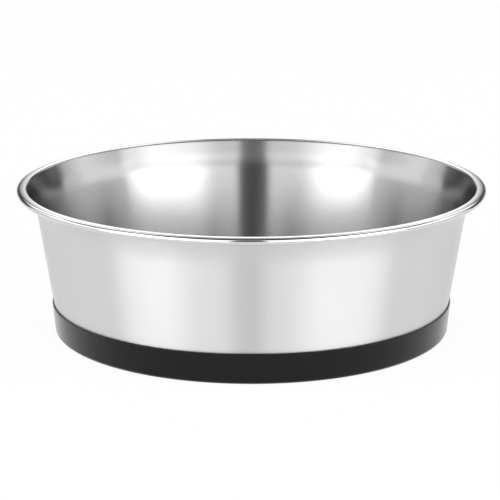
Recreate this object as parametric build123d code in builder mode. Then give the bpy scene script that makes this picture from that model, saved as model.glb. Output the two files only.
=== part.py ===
from build123d import *

import os
from math import cos, radians, tan

# Stainless dog bowl, standing on the floor with its axis on Z and the floor at Z = 0.
# One disc of sheet steel is drawn into the bowl and its edge is rolled over into a hollow rim.
# A moulded rubber base wraps the lower wall and the edge of the bottom, and a film of cured
# adhesive between the two holds it there. All sizes are in millimetres and degrees.

# Bowl
rim_diameter = 222.0  # outside the rolled rim
bowl_height = 70.0  # floor to the top of the rim
sheet = 0.7  # thickness of the steel
wall_lean = 8.9  # how far the wall leans outwards from upright
roll_diameter = 3.0  # outside the rolled edge
roll_turn = 245.0  # how far the edge is rolled, from level to its cut end
lip_reach = 8.4  # at the rim's level, from the line of the wall to the outside of the rim
lip_round = 1.0  # food side, between the flare and the level lip
flare_height = 10.0  # from the rim down to the bend where the wall starts to flare
flare_lean = 27.0  # how far the flare leans outwards from upright
flare_round = 30.0  # of that bend
floor_radius = 9.0  # food side, between the bottom and the wall
panel_rise = 1.2  # the middle of the bottom is pressed up, which keeps the sheet stiff
panel_ramp = 4.0  # width of the slope up to the panel
panel_round = 6.0  # at the foot and the head of that slope
panel_margin = 3.0  # from the opening in the rubber to the foot of that slope

# Rubber base
band_height = 14.5  # floor to the top edge of the rubber
band_wall = 0.5  # thickness of the rubber on the wall, at its top edge
foot_wall = 1.4  # the same at the floor
band_round = 0.4  # top edge
tread = 3.0  # thickness of the rubber under the bowl
foot_width = 28.0  # from the foot's outside to the opening under the bowl
foot_round = 2.0  # outside bottom edge
opening_round = 1.0  # bottom edge of the opening
groove_count = 3  # rings moulded into the tread for grip
groove_width = 2.4
groove_depth = 0.8

# Adhesive
film = 0.2  # thickness
film_setback = 0.6  # from both edges of the rubber
film_clearance = 0.05  # between the film and each of the two faces that it joins

# Levels and depths that follow from those sizes. The faces of the drawn shell and of what lies
# behind it run side by side, so each is placed by its depth behind the food side.
lean_run = tan(radians(wall_lean))  # outward run of the wall for each unit of height
lean_square = cos(radians(wall_lean))  # thickness of the wall for each unit of level width
roll_radius = roll_diameter / 2
roll_centre = rim_diameter / 2 - roll_radius
wall_at_rim = rim_diameter / 2 - lip_reach  # where the wall's line would meet the rim's level
flare_level = bowl_height - flare_height
film_depth = sheet + film_clearance
film_back_depth = film_depth + film
rubber_depth = film_back_depth + film_clearance
floor_level = tread + rubber_depth
panel_level = floor_level + panel_rise


def wall_radius(height, depth):
    return wall_at_rim + depth / lean_square - (bowl_height - height) * lean_run


def floor_corner(depth):
    level = floor_level - depth
    return (wall_radius(level, depth), level)


# Half section of the bowl, filled to the rim, out to a face at this depth behind the food side.
def filled_bowl(depth):
    with BuildSketch() as section:
        with BuildLine():
            side = FilletPolyline(
                (0, floor_level - depth),
                floor_corner(depth),
                (wall_radius(bowl_height, depth), bowl_height),
                radius=floor_radius + depth,
            )
            Polyline(side @ 1, (0, bowl_height), side @ 0)
        make_face()
    return section.sketch


foot_outside = wall_radius(0, rubber_depth + foot_wall)
opening_radius = foot_outside - foot_width
ramp_foot = opening_radius - panel_margin
panel_radius = ramp_foot - panel_ramp
lip_corner = wall_radius(flare_level, 0) + flare_height * tan(radians(flare_lean))
groove_pitch = foot_width / (groove_count + 1)
groove_places = [(opening_radius + groove_pitch * (i + 1), 0) for i in range(groove_count)]

# Steel bowl: the food side, from the middle of the bottom to the lip, thickened outwards by the
# sheet, then the edge rolled on from the lip, all turned about the axis.
with BuildPart() as steel_bowl:
    with BuildSketch(Plane.XZ):
        with BuildLine():
            food_side = FilletPolyline(
                (0, panel_level),
                (panel_radius, panel_level),
                (ramp_foot, floor_level),
                floor_corner(0),
                (wall_radius(flare_level, 0), flare_level),
                (lip_corner, bowl_height),
                (roll_centre, bowl_height),
                radius=[panel_round, panel_round, floor_radius, flare_round, lip_round],
            )
            offset(amount=sheet, side=Side.RIGHT)
        make_face()
        with BuildLine():
            roll_outside = JernArc(food_side @ 1, food_side % 1, roll_radius, -roll_turn)
            roll_inside = JernArc(
                (roll_centre, bowl_height - sheet),
                food_side % 1,
                roll_radius - sheet,
                -roll_turn,
            )
            Line(roll_outside @ 0, roll_inside @ 0)
            Line(roll_outside @ 1, roll_inside @ 1)
        make_face()
    revolve(axis=Axis.Z)

# Adhesive film: the layer between the steel and the rubber, cut back from the rubber's edges.
with BuildPart() as adhesive_film:
    with BuildSketch(Plane.XZ):
        add(filled_bowl(film_back_depth))
        add(filled_bowl(film_depth), mode=Mode.SUBTRACT)
        with Locations((opening_radius + film_setback, 0)):
            Rectangle(
                rim_diameter / 2,
                band_height - film_setback,
                align=(Align.MIN, Align.MIN),
                mode=Mode.INTERSECT,
            )
    revolve(axis=Axis.Z)

# Rubber base: the band up the wall and the tread under the bowl, with the bowl's seat cut out of
# them and the grip rings cut into the tread.
with BuildPart() as rubber_base:
    with BuildSketch(Plane.XZ) as base_section:
        with BuildLine():
            Polyline(
                (opening_radius, band_height),
                (opening_radius, 0),
                (foot_outside, 0),
                (wall_radius(band_height, rubber_depth + band_wall), band_height),
                close=True,
            )
        make_face()
        fillet(base_section.vertices().group_by(Axis.Y)[-1].sort_by(Axis.X)[-1], band_round)
        fillet(base_section.vertices().group_by(Axis.Y)[0].sort_by(Axis.X)[-1], foot_round)
        fillet(base_section.vertices().group_by(Axis.Y)[0].sort_by(Axis.X)[0], opening_round)
        add(filled_bowl(rubber_depth), mode=Mode.SUBTRACT)
        with Locations(*groove_places):
            Rectangle(groove_width, 2 * groove_depth, mode=Mode.SUBTRACT)
    revolve(axis=Axis.Z)

steel_bowl.part.label = "steel_bowl"
adhesive_film.part.label = "adhesive_film"
rubber_base.part.label = "rubber_base"

os.makedirs("parts", exist_ok=True)
export_step(steel_bowl.part, "parts/steel_bowl.step")
export_step(adhesive_film.part, "parts/adhesive_film.step")
export_step(rubber_base.part, "parts/rubber_base.step")
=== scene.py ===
import math

import bmesh
import bpy
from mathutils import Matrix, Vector


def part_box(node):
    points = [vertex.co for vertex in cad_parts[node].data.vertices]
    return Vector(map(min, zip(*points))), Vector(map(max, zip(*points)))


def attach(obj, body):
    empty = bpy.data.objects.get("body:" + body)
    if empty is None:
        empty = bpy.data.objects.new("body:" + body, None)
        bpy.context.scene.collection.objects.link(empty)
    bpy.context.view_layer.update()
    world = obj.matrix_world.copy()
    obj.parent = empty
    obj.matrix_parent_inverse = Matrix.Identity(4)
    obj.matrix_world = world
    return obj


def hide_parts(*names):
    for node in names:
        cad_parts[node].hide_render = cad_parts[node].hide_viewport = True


# Stainless dog bowl in a white studio. The bowl's sizes are in millimetres, angles in degrees.
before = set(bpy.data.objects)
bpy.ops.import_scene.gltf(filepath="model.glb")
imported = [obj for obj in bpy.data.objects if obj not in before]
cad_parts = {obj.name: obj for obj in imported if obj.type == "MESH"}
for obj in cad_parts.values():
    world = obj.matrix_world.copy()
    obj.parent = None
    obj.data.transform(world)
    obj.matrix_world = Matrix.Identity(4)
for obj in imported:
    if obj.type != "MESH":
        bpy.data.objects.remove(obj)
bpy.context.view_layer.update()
scene = bpy.context.scene
print("frame loaded:", sorted(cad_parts))

mm = 0.001
tiny = 1e-9  # lengths below this count as none
noiseMiddle = 0.5  # noise textures run from 0 to 1


# Shader maths: a Val wraps a socket, and an expression on it adds Math nodes.
class Val:
    def __init__(self, tree, socket):
        self.tree = tree
        self.socket = socket

    def math(self, operation, *values, clamp=False):
        node = self.tree.nodes.new("ShaderNodeMath")
        node.operation = operation
        node.use_clamp = clamp
        for i, value in enumerate(values):
            plug(self.tree, node.inputs[i], value)
        return Val(self.tree, node.outputs[0])

    def __add__(self, other):
        return self.math("ADD", self, other)

    def __radd__(self, other):
        return self.math("ADD", other, self)

    def __sub__(self, other):
        return self.math("SUBTRACT", self, other)

    def __rsub__(self, other):
        return self.math("SUBTRACT", other, self)

    def __mul__(self, other):
        return self.math("MULTIPLY", self, other)

    def __rmul__(self, other):
        return self.math("MULTIPLY", other, self)

    def clamped(self):
        return self.math("ADD", self, 0.0, clamp=True)


def plug(tree, socket, value):
    if isinstance(value, Val):
        tree.links.new(value.socket, socket)
    else:
        socket.default_value = value


class Finish:
    def __init__(self, name):
        self.material = bpy.data.materials.new(name)
        self.material.use_nodes = True
        self.tree = self.material.node_tree
        self.tree.nodes.clear()
        self.out = self.tree.nodes.new("ShaderNodeOutputMaterial")

    # any node: its type, its settings, then its sockets by name or number
    def node(self, kind, settings=None, sockets=None, output=0):
        made = self.tree.nodes.new("ShaderNode" + kind)
        for key, value in (settings or {}).items():
            setattr(made, key, value)
        for key, value in (sockets or {}).items():
            plug(self.tree, made.inputs[key], value)
        return Val(self.tree, made.outputs[output])

    def place(self):
        return self.node("TexCoord", None, None, "Object")

    def split(self, vector):
        return [self.node("SeparateXYZ", None, {0: vector}, axis) for axis in "XYZ"]

    # noise about zero
    def noise(self, vector, scale, detail, breakUp=0.5):
        made = self.node("TexNoise", None, {
            "Vector": vector, "Scale": scale, "Detail": detail, "Roughness": breakUp})
        return made - noiseMiddle

    def grey(self, level):
        return self.node("CombineColor", None, {0: level, 1: level, 2: level})

    def shade(self, shader):
        plug(self.tree, self.out.inputs["Surface"], shader)
        return self.material


# Lathe: profiles are rounded polylines in (radius, height), turned about Z.
def offsetCorners(corners, distance):
    # corners moved to the right of their path; a left turn's radius grows by the distance
    points = [Vector(c[:2]) for c in corners]
    sides = []
    for a, b in zip(points, points[1:]):
        along = (b - a).normalized()
        sides.append((a, along, Vector((along.y, -along.x)) * distance))
    moved = [(*(points[0] + sides[0][2]), 0)]
    for i in range(1, len(points) - 1):
        (a, u, m), (b, v, n) = sides[i - 1], sides[i]
        turn = u.x * v.y - u.y * v.x
        gap = (b + n) - (a + m)
        step = (gap.x * v.y - gap.y * v.x) / turn
        corner = a + m + u * step
        moved.append((*corner, corners[i][2] + math.copysign(distance, turn)))
    moved.append((*(points[-1] + sides[-1][2]), 0))
    return moved


def roundedPath(corners, arcStep, lineStep):
    # every corner is (radius, height, rounding)
    points = [Vector(c[:2]) for c in corners]
    path = [points[0]]
    for i in range(1, len(points)):
        target = points[i]
        arc = []
        if i < len(points) - 1 and corners[i][2] > 0:
            u = (points[i] - points[i - 1]).normalized()
            v = (points[i + 1] - points[i]).normalized()
            turn = math.atan2(u.x * v.y - u.y * v.x, u.dot(v))
            reach = corners[i][2] * math.tan(abs(turn) / 2)
            target = points[i] - u * reach
            side = Vector((-u.y, u.x)) * math.copysign(corners[i][2], turn)
            centre = target + side
            steps = max(2, math.ceil(abs(turn) / arcStep))
            for k in range(1, steps + 1):
                a = turn * k / steps
                spoke = -side
                arc.append(centre + Vector((
                    spoke.x * math.cos(a) - spoke.y * math.sin(a),
                    spoke.x * math.sin(a) + spoke.y * math.cos(a))))
        start = path[-1]
        rows = max(1, math.ceil((target - start).length / lineStep))
        if (target - start).length > tiny:
            path += [start.lerp(target, k / rows) for k in range(1, rows + 1)]
        path += arc
    return path


def arcPath(centre, radius, start, end, arcStep):
    steps = math.ceil(abs(end - start) / arcStep)
    angles = [start + (end - start) * k / steps for k in range(steps + 1)]
    return [Vector(centre) + radius * Vector((math.cos(a), math.sin(a))) for a in angles]


def lathe(name, stretches, turns, closed=False):
    # a stretch is its material slot, its points and whether it starts in a sharp edge;
    # each starts at the last point of the one before it
    mesh = bmesh.new()
    rings = []
    slots = []
    sharpRings = []
    for slot, points, sharpStart in stretches:
        if rings:
            points = points[1:]
            if sharpStart:
                sharpRings.append(rings[-1])
        for p in points:
            if p.x < tiny:
                rings.append([mesh.verts.new((0, 0, p.y))])
            else:
                angles = [2 * math.pi * k / turns for k in range(turns)]
                rings.append([mesh.verts.new((p.x * math.sin(a), -p.x * math.cos(a), p.y)) for a in angles])
            slots.append(slot)
    pairs = [(i, i + 1) for i in range(len(rings) - 1)]
    if closed:
        pairs.append((len(rings) - 1, 0))
    for i, j in pairs:
        low, high = rings[i], rings[j]
        for k in range(turns):
            n = (k + 1) % turns
            corners = [low[k % len(low)], low[n % len(low)], high[n % len(high)], high[k % len(high)]]
            face = mesh.faces.new(list(dict.fromkeys(corners)))
            face.smooth = True
            face.material_index = slots[j]
    for ring in sharpRings:
        for k in range(turns):
            mesh.edges.get((ring[k], ring[(k + 1) % turns])).smooth = False
    bmesh.ops.recalc_face_normals(mesh, faces=mesh.faces)
    return addObject(name, mesh)


def addObject(name, mesh):
    data = bpy.data.meshes.new(name)
    mesh.to_mesh(data)
    mesh.free()
    made = bpy.data.objects.new(name, data)
    scene.collection.objects.link(made)
    return made


def metres(points):
    return [p * mm for p in points]


# Steel bowl: one sheet, drawn, flared and rolled
steel = {
    "sheet": 0.7, "wallLean": 8.9, "rollDiameter": 3.0, "rollTurn": 245.0, "lipReach": 8.4, "lipRound": 1.0,
    "flareHeight": 10.0, "flareLean": 27.0, "flareRound": 30.0, "floorRadius": 9.0,
    "panelRise": 1.2, "panelRamp": 4.0, "panelRound": 6.0, "panelMargin": 3.0,
    "turns": 384, "arcStep": 3.0, "rollStep": 6.0, "lineStep": 2.5, "levelWithin": 0.001,
}
# Rubber base: the band up the wall and the tread under the bowl
rubber = {
    "bandWall": 0.5, "footWall": 1.4, "bandRound": 0.4, "tread": 3.0, "bond": 0.3, "footWidth": 28.0,
    "footRound": 2.0, "openingRound": 1.0, "grooveCount": 3, "grooveWidth": 2.4,
    "grooveDepth": 0.8, "grooveRound": 0.3, "turns": 320, "arcStep": 6.0, "lineStep": 2.0,
}

lean = math.radians(steel["wallLean"])
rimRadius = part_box("steel_bowl")[1].x / mm
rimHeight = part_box("steel_bowl")[1].z / mm
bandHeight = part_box("rubber_base")[1].z / mm
rollRadius = steel["rollDiameter"] / 2
rollCentre = (rimRadius - rollRadius, rimHeight - rollRadius)
wallAtRim = rimRadius - steel["lipReach"]  # where the wall's line meets the rim's level
bondDepth = steel["sheet"] + rubber["bond"]
floorLevel = rubber["tread"] + bondDepth


def wallRadius(height, depth):
    # radius of the wall at a height, this deep behind the food side
    return wallAtRim + depth / math.cos(lean) - (rimHeight - height) * math.tan(lean)


footOutside = wallRadius(0, bondDepth + rubber["footWall"])
openingRadius = footOutside - rubber["footWidth"]


def makeSteelBowl():
    rampFoot = openingRadius - steel["panelMargin"]
    panelLevel = floorLevel + steel["panelRise"]
    flareLevel = rimHeight - steel["flareHeight"]
    flareFoot = wallRadius(flareLevel, 0)
    lipCorner = flareFoot + steel["flareHeight"] * math.tan(math.radians(steel["flareLean"]))
    foodSide = [
        (0, panelLevel, 0),
        (rampFoot - steel["panelRamp"], panelLevel, steel["panelRound"]),
        (rampFoot, floorLevel, steel["panelRound"]),
        (wallRadius(floorLevel, 0), floorLevel, steel["floorRadius"]),
        (flareFoot, flareLevel, steel["flareRound"]),
        (lipCorner, rimHeight, steel["lipRound"]),
        (rollCentre[0], rimHeight, 0),
    ]
    arcStep = math.radians(steel["arcStep"])
    rollStep = math.radians(steel["rollStep"])
    inside = roundedPath(foodSide, arcStep, steel["lineStep"])
    outside = roundedPath(offsetCorners(foodSide, steel["sheet"]), arcStep, steel["lineStep"])
    up = math.pi / 2
    end = up - math.radians(steel["rollTurn"])
    rollOut = arcPath(rollCentre, rollRadius, up, end, rollStep)
    rollIn = arcPath(rollCentre, rollRadius - steel["sheet"], end, up, rollStep)
    lipStart = next(i for i, p in enumerate(inside) if p.y > rimHeight - steel["levelWithin"])
    return lathe("bowlShell", [
        (1, metres(inside[:lipStart + 1]), False),
        (2, metres(inside[lipStart:] + rollOut[1:]), False),
        (2, metres([rollOut[-1], rollIn[0]]), True),
        (0, metres(rollIn + outside[::-1][1:]), True),
    ], steel["turns"])


def makeRubberBase():
    arcStep = math.radians(rubber["arcStep"])
    seatLevel = rubber["tread"]
    seat = [
        (openingRadius, seatLevel, 0),
        (wallRadius(seatLevel, bondDepth), seatLevel, steel["floorRadius"] + bondDepth),
        (wallRadius(bandHeight, bondDepth), bandHeight, 0),
    ]
    band = [
        (wallRadius(bandHeight, bondDepth), bandHeight, 0),
        (wallRadius(bandHeight, bondDepth + rubber["bandWall"]), bandHeight, rubber["bandRound"]),
        (footOutside, 0, rubber["footRound"]),
    ]
    pitch = rubber["footWidth"] / (rubber["grooveCount"] + 1)
    half = rubber["grooveWidth"] / 2
    for i in range(rubber["grooveCount"], 0, -1):
        middle = openingRadius + pitch * i
        band += [
            (middle + half, 0, rubber["grooveRound"]),
            (middle + half, rubber["grooveDepth"], rubber["grooveRound"]),
            (middle - half, rubber["grooveDepth"], rubber["grooveRound"]),
            (middle - half, 0, rubber["grooveRound"]),
        ]
    band += [(openingRadius, 0, rubber["openingRound"]), (openingRadius, seatLevel, 0)]
    return lathe("baseRing", [
        (0, metres(roundedPath(seat, arcStep, rubber["lineStep"])), False),
        (0, metres(roundedPath(band, arcStep, rubber["lineStep"]))[:-1], True),
    ], rubber["turns"], closed=True)


bowlShell = makeSteelBowl()
baseRing = makeRubberBase()
print("bowl and base turned")

# Steel finishes. Stretch is the blur across the grain, edge the light kept at grazing angles,
# and dish the slope by which the inside's shading leans back.
brushed = {
    "tint": 0.67, "rough": 0.32, "stretch": 1.0, "edge": 1.0, "dish": 0.0,
    "grain": 0.05, "smudge": 0.03, "lines": 9000.0,
}
# The inside's tint and edge are lower than the outside's: painted shade, standing in for the dimmer light
# that the inside reflects.
satin = {
    "tint": 0.42, "rough": 0.22, "stretch": 0.9, "edge": 0.65, "dish": 0.05,
    "grain": 0.04, "smudge": 0.03, "lines": 9000.0,
}
polished = {
    "tint": 0.67, "rough": 0.1, "stretch": 0.0, "edge": 1.0, "dish": 0.0,
    "grain": 0.02, "smudge": 0.02, "lines": 4000.0,
}
steelGrain = {
    "wander": 12.0, "detail": 3.0, "breakUp": 0.6, "smudges": 26.0, "smudgeDetail": 2.0,
    "grainRough": 1.5, "smudgeRough": 2.0, "relief": 0.05, "depth": 0.00002, "turned": 0.25,
}


def makeSteelFinish(name, look):
    f = Finish(name)
    place = f.place()
    x, y, z = f.split(place)
    radius = x.math("SQRT", x * x + y * y)
    along = (radius + z) * look["lines"]  # runs up the profile, so equal values are rings
    ring = f.node("CombineXYZ", None, {0: x * steelGrain["wander"], 1: y * steelGrain["wander"], 2: along})
    grain = f.noise(ring, 1.0, steelGrain["detail"], steelGrain["breakUp"])
    smudge = f.noise(place, steelGrain["smudges"], steelGrain["smudgeDetail"])
    grainPart = grain * look["grain"]
    smudgePart = smudge * look["smudge"]
    tint = look["tint"] + grainPart + smudgePart
    rough = look["rough"] + grainPart * steelGrain["grainRough"] + smudgePart * steelGrain["smudgeRough"]
    dish = f.node("Bump", None, {"Strength": 1.0, "Distance": 1.0, "Height": z * -look["dish"]})
    bump = f.node("Bump", None, {
        "Strength": steelGrain["relief"], "Distance": steelGrain["depth"], "Height": grain, "Normal": dish})
    return f.shade(f.node("BsdfPrincipled", None, {
        "Base Color": f.grey(tint), "Metallic": 1.0, "Roughness": rough, "Normal": bump,
        "Specular Tint": (look["edge"],) * 3 + (1,),
        "Anisotropic": look["stretch"], "Anisotropic Rotation": steelGrain["turned"]}))


# Rubber finish: gloss is its shine, bloom the pale haze at grazing angles.
matteRubber = {
    "tint": 0.003, "rough": 0.2, "gloss": 0.2, "bloom": 0.7, "bloomRough": 0.3,
    "grain": 2600.0, "grainDetail": 2.0, "grainRough": 0.1, "relief": 0.4, "depth": 0.00003,
    "clouds": 30.0, "cloudDetail": 3.0, "cloudTint": 0.5, "cloudRough": 0.15,
}


def makeRubberFinish(look):
    f = Finish("matteRubber")
    place = f.place()
    grain = f.noise(place, look["grain"], look["grainDetail"])
    cloud = f.noise(place, look["clouds"], look["cloudDetail"])
    tint = look["tint"] * (1.0 + cloud * look["cloudTint"])
    rough = look["rough"] + cloud * look["cloudRough"] + grain * look["grainRough"]
    bump = f.node("Bump", None, {"Strength": look["relief"], "Distance": look["depth"], "Height": grain})
    return f.shade(f.node("BsdfPrincipled", None, {
        "Base Color": f.grey(tint), "Roughness": rough, "Normal": bump, "Specular IOR Level": look["gloss"],
        "Sheen Weight": look["bloom"], "Sheen Roughness": look["bloomRough"]}))


# Adhesive finish: dull and cloudy, a little warm
curedAdhesive = {
    "tint": 0.05, "green": 0.95, "blue": 0.85, "rough": 0.7, "relief": 0.3, "depth": 0.0001,
    "clouds": 90.0, "cloudDetail": 4.0, "cloudTint": 0.6, "cloudRough": 0.2,
}


def makeAdhesiveFinish(look):
    f = Finish("curedAdhesive")
    cloud = f.noise(f.place(), look["clouds"], look["cloudDetail"])
    tint = look["tint"] * (1.0 + cloud * look["cloudTint"])
    warm = f.node("CombineColor", None, {0: tint, 1: tint * look["green"], 2: tint * look["blue"]})
    bump = f.node("Bump", None, {"Strength": look["relief"], "Distance": look["depth"], "Height": cloud})
    return f.shade(f.node("BsdfPrincipled", None, {
        "Base Color": warm, "Roughness": look["rough"] + cloud * look["cloudRough"], "Normal": bump}))


for part, material in (
    (bowlShell, makeSteelFinish("brushedSteel", brushed)),
    (bowlShell, makeSteelFinish("satinSteel", satin)),
    (bowlShell, makeSteelFinish("polishedSteel", polished)),
    (baseRing, makeRubberFinish(matteRubber)),
):
    part.data.materials.append(material)
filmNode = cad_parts["adhesive_film"]
filmNode.data.materials.clear()
filmNode.data.materials.append(makeAdhesiveFinish(curedAdhesive))

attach(bowlShell, "root")
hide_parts("steel_bowl")
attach(baseRing, "root")
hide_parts("rubber_base")
print("finishes on")

# Camera at the photograph's angle; distances in metres
camera = {
    "distance": 0.9435, "elevation": 14.457, "aimHeight": 0.0346,
    "lens": 141.72, "sensor": 36.0, "shift": (-0.00277, 0.0098),
}


def makeCamera():
    data = bpy.data.cameras.new("camera")
    data.lens = camera["lens"]
    data.sensor_width = camera["sensor"]
    data.shift_x, data.shift_y = camera["shift"]
    made = bpy.data.objects.new("camera", data)
    up = math.radians(camera["elevation"])
    back = camera["distance"] * math.cos(up)
    height = camera["aimHeight"] + camera["distance"] * math.sin(up)
    made.location = (0, -back, height)
    made.rotation_euler = (math.pi / 2 - up, 0, 0)
    scene.collection.objects.link(made)
    scene.camera = made


makeCamera()
print("camera set")

# Studio: a white floor under a dome of cloth lit in panels; lengths in metres.
# A panel is turn from, turn to, softness, rise from, rise to, softness, level. Turns start at the
# camera's side and grow to the right, rises start at the floor, and panels that overlap add up.
studio = {
    "floorSize": 12.0, "floorTint": 0.95, "floorGlow": 0.94, "worldGrey": 0.85,
    "domeRadius": 4.0, "domeTurns": 96, "domeRings": 48, "domeFoot": -0.01, "roomLevel": 0.07,
    "panels": {
        "leftLamp": (-69, -37, 10, 5, 12.5, 2.5, 5.2),
        "rightLamp": (28, 70, 10, 5, 12.5, 2.5, 5.2),
        "leftHead": (-72, -37, 10, 16, 50, 4, 1),
        "rightHead": (28, 73, 10, 16, 50, 4, 1),
        "leftFill": (-74, -9.9, 1.5, -10, 21, 5, 1.75),
        "rightFill": (7.5, 76, 1.5, 1, 21, 4, 1.75),
        "leftLow": (-50, -14, 5, -10, 4, 4, 1.6),
        "leftFillTop": (-84, -9.9, 1.5, 29, 54, 5, 1.95),
        "rightFillTop": (7.5, 85, 1.5, 29, 54, 5, 1.9),
        "leftStrip": (-74, -9.9, 1.5, 4, 14, 3, 1),
        "rightStrip": (7.5, 76, 1.5, 4, 14, 3, 1.2),
        "leftWing": (-131, -74, 1.5, 5, 37, 4, 1.2),
        "rightWing": (76, 128.5, 1.5, 5, 37, 4, 1.2),
        "leftWingTop": (-121, -84, 1.5, 24, 37, 4, 0.5),
        "rightWingTop": (85, 121, 1.5, 24, 37, 4, 0.5),
        "leftCrown": (-106, -84, 4, 40, 54, 4, 0.6),
        "rightCrown": (85, 106, 4, 40, 54, 4, 0.6),
        "leftCheek": (-112, -74, 4, 9, 22, 3, 0.5),
        "rightCheek": (76, 112, 4, 9, 22, 3, 0.5),
        "front": (-12, 11, 4, 30, 60, 8, 0.3),
        "frontLow": (-11, 9, 2, -10, 3.5, 2, 1.7),
    },
    "mirroredPanels": {
        "sweep": (171.8, 177.4, 1.5, 10, 17.5, 0.8, 1.6),
        "sweepMiddle": (177.4, 190, 1.5, 13.4, 17.5, 0.8, 1.9),
        "backdrop": (146, 173, 3, -10, 9, 2, 0.25),
        "flank": (140, 168, 4, 22, 62, 5, 1.8),
        "back": (168, 190, 4, 52, 62, 5, 1.5),
    },
}


def makeFloor():
    mesh = bmesh.new()
    bmesh.ops.create_grid(mesh, x_segments=1, y_segments=1, size=studio["floorSize"])
    made = addObject("floor", mesh)
    f = Finish("floorWhite")
    paper = f.node("BsdfDiffuse", None, {"Color": (studio["floorTint"],) * 3 + (1,)})
    glow = f.node("Emission", None, {"Color": (1, 1, 1, 1), "Strength": 1.0})
    seen = f.node("LightPath", None, None, "Is Camera Ray")
    seen = seen + f.node("LightPath", None, None, "Is Glossy Ray")
    seen = seen + f.node("LightPath", None, None, "Is Transmission Ray")
    share = seen.clamped() * studio["floorGlow"]
    made.data.materials.append(f.shade(f.node("MixShader", None, {0: share, 1: paper, 2: glow})))


def makeDome():
    mesh = bmesh.new()
    bmesh.ops.create_uvsphere(
        mesh, u_segments=studio["domeTurns"], v_segments=studio["domeRings"], radius=studio["domeRadius"])
    under = [v for v in mesh.verts if v.co.z < studio["domeFoot"]]
    bmesh.ops.delete(mesh, geom=under, context="VERTS")
    made = addObject("lightDome", mesh)
    made.visible_camera = False
    f = Finish("litCloth")
    x, y, z = f.split(f.node("VectorMath", {"operation": "NORMALIZE"}, {0: f.place()}))
    turn = x.math("ARCTAN2", x, 0 - y) * math.degrees(1)
    rise = z.math("ARCSINE", z) * math.degrees(1)

    def step(value, edge, soft):
        return f.node("MapRange", {"interpolation_type": "SMOOTHSTEP"}, {
            "Value": value, "From Min": edge - soft, "From Max": edge + soft})

    panels = list(studio["panels"].values())
    for start, end, *rest in studio["mirroredPanels"].values():
        panels += [(start, end, *rest), (-end, -start, *rest)]
    level = 0.0
    for start, end, soft, low, high, blur, strength in panels:
        across = step(turn, start, soft) * (1 - step(turn, end, soft))
        level = across * step(rise, low, blur) * (1 - step(rise, high, blur)) * strength + level
    cloth = f.grey(level + studio["roomLevel"])
    made.data.materials.append(f.shade(f.node("Emission", None, {"Color": cloth, "Strength": 1.0})))


def makeWorld():
    world = bpy.data.worlds.new("studio")
    world.use_nodes = True
    world.node_tree.nodes["Background"].inputs["Color"].default_value = (studio["worldGrey"],) * 3 + (1,)
    scene.world = world


makeFloor()
makeDome()
makeWorld()
scene.view_settings.view_transform = "Standard"
print("studio lit")
